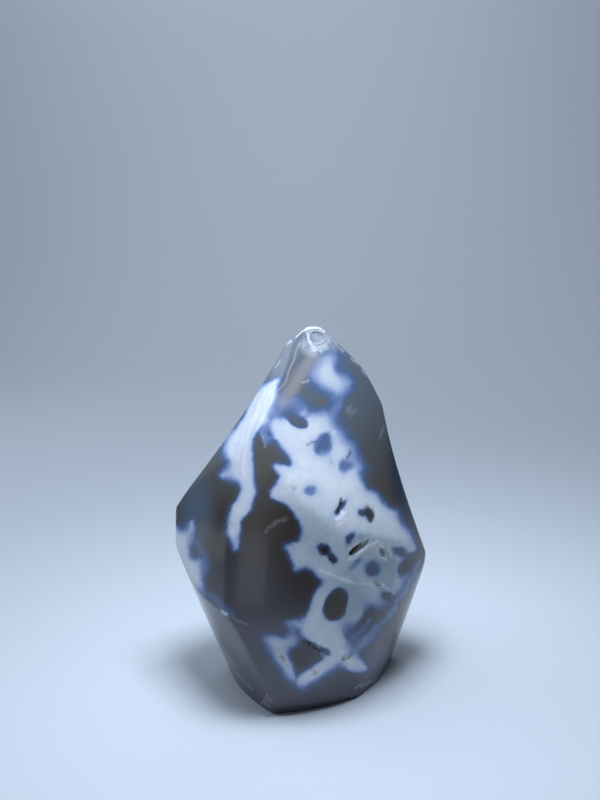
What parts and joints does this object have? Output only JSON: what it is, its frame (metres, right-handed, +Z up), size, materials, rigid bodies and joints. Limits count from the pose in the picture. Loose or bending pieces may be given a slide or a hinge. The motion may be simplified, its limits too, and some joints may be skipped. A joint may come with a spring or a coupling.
{
  "type": "agate freeform",
  "caption": "Free-form piece of polished orca agate with broad curved facets rising to an offset tip, cut flat underneath so that it stands upright.",
  "frame": {"origin": "on the table, under the middle of the stone's bounding box", "axes": "+Z up through the tip, +X to the right when the stone is seen from the front, -Y out of the broad front"},
  "size_m": [0.0648, 0.0474, 0.0897],
  "materials": {
    "agate": "polished, dark blue-grey chalcedony with milky white patches"
  },
  "bodies": {
    "root": {"stone": "agate"}
  },
  "joints": []
}
